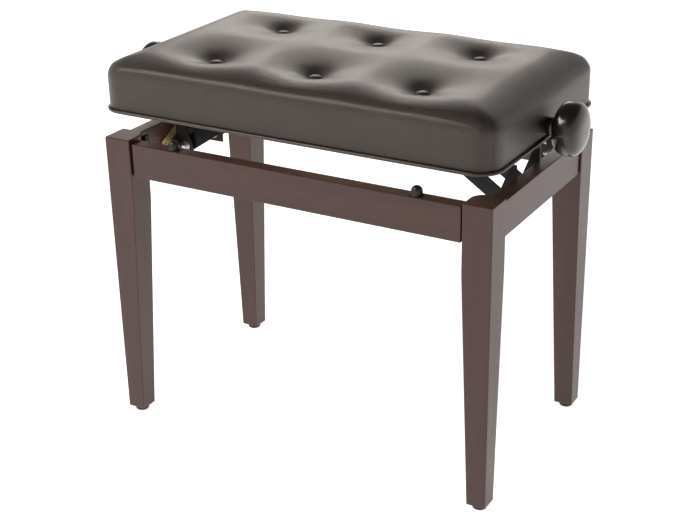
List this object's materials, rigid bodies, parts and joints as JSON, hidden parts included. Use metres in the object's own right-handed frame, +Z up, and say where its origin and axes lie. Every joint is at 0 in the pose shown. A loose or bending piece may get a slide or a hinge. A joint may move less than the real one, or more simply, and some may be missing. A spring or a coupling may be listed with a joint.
{
  "type": "adjustable piano bench",
  "caption": "Rectangular tufted seat on tapered wooden legs, raised and lowered by a screw and scissor lift turned with side knobs.",
  "frame": {"origin": "on the floor, under the middle of the bench", "axes": "+X along the bench through the knobs, +Y from front to back, +Z up"},
  "size_m": [0.6382, 0.3244, 0.5098],
  "materials": {
    "mahogany": "satin lacquer over a dark red-brown stain",
    "inner_wood": "plain unfinished plywood",
    "stained_wood": "dark stained box rails under the cover",
    "black_steel": "satin black paint",
    "yellow_zinc": "yellow zinc plate",
    "bright_steel": "bright turned steel",
    "gloss_black": "high gloss black",
    "leatherette": "satin dark leatherette with a fine grain",
    "foam": "open-cell upholstery foam",
    "black_plastic": "matt black"
  },
  "bodies": {
    "frame": {"leg_front_left": "mahogany", "glide_front_left": "black_plastic", "corner_plate_front_left": "black_steel", "stop_stud_front_left": "black_plastic", "leg_front_right": "mahogany", "glide_front_right": "black_plastic", "corner_plate_front_right": "black_steel", "stop_stud_front_right": "black_plastic", "leg_back_left": "mahogany", "glide_back_left": "black_plastic", "corner_plate_back_left": "black_steel", "stop_stud_back_left": "black_plastic", "leg_back_right": "mahogany", "glide_back_right": "black_plastic", "corner_plate_back_right": "black_steel", "stop_stud_back_right": "black_plastic", "apron_front": "mahogany", "apron_back": "mahogany", "apron_left": "mahogany", "apron_right": "mahogany", "base_strap_left": "yellow_zinc", "base_channel_left": "black_steel", "lower_rod_left": "bright_steel", "base_strap_right": "yellow_zinc", "base_channel_right": "black_steel", "lower_rod_right": "bright_steel"},
    "arm_left": {"arm_left_front": "black_steel", "arm_left_back": "black_steel"},
    "arm_right": {"arm_right_front": "black_steel", "arm_right_back": "black_steel"},
    "seat": {"seat_rail_front": "stained_wood", "seat_rail_back": "stained_wood", "seat_rail_left": "stained_wood", "seat_rail_right": "stained_wood", "seat_board": "inner_wood", "foam_pad": "foam", "seat_cover": "leatherette", "seat_piping": "leatherette", "button_1": "leatherette", "button_2": "leatherette", "button_3": "leatherette", "button_4": "leatherette", "button_5": "leatherette", "button_6": "leatherette", "upper_channel_left": "black_steel", "spindle_bush_left": "black_steel", "upper_channel_right": "black_steel", "spindle_bush_right": "black_steel"},
    "link_left": {"link_left_front": "black_steel", "link_left_back": "black_steel", "upper_rod_left": "bright_steel"},
    "nut_left": {"spindle_nut_left": "bright_steel"},
    "link_right": {"link_right_front": "black_steel", "link_right_back": "black_steel", "upper_rod_right": "bright_steel"},
    "nut_right": {"spindle_nut_right": "bright_steel"},
    "spindle": {"spindle": "bright_steel", "knob_left": "gloss_black", "knob_right": "gloss_black"}
  },
  "joints": [
    {"name": "seat_lift", "type": "slide", "parent": "frame", "child": "seat", "axis": [0, 0, 1], "range_m": [-0.0295, 0.05]},
    {"name": "spindle_turn", "type": "hinge", "parent": "seat", "child": "spindle", "pos_m": [0, 0, 0.455], "axis": [1, 0, 0], "range_deg": [-1771, 3002]},
    {"name": "arm_left_swing", "type": "hinge", "parent": "frame", "child": "arm_left", "pos_m": [-0.2349, 0, 0.36], "axis": [0, -1, 0], "range_deg": [-16.5, 27.8]},
    {"name": "link_left_swing", "type": "hinge", "parent": "seat", "child": "link_left", "pos_m": [-0.2349, 0, 0.443], "axis": [0, 1, 0], "range_deg": [-16.5, 27.8]},
    {"name": "nut_left_travel", "type": "slide", "parent": "seat", "child": "nut_left", "axis": [-1, 0, 0], "range_m": [-0.03, 0.0505]},
    {"name": "arm_right_swing", "type": "hinge", "parent": "frame", "child": "arm_right", "pos_m": [0.2349, 0, 0.36], "axis": [0, 1, 0], "range_deg": [-16.5, 27.8]},
    {"name": "link_right_swing", "type": "hinge", "parent": "seat", "child": "link_right", "pos_m": [0.2349, 0, 0.443], "axis": [0, -1, 0], "range_deg": [-16.5, 27.8]},
    {"name": "nut_right_travel", "type": "slide", "parent": "seat", "child": "nut_right", "axis": [1, 0, 0], "range_m": [-0.03, 0.0505]}
  ],
  "couplings": [
    {"joint": "spindle_turn", "follows": "seat_lift", "rad_per_m": 1047.2},
    {"joint": "arm_left_swing", "follows": "seat_lift", "rad_per_m": 9.6},
    {"joint": "link_left_swing", "follows": "seat_lift", "rad_per_m": 9.6},
    {"joint": "nut_left_travel", "follows": "seat_lift", "ratio": 1},
    {"joint": "arm_right_swing", "follows": "seat_lift", "rad_per_m": 9.6},
    {"joint": "link_right_swing", "follows": "seat_lift", "rad_per_m": 9.6},
    {"joint": "nut_right_travel", "follows": "seat_lift", "ratio": 1}
  ]
}
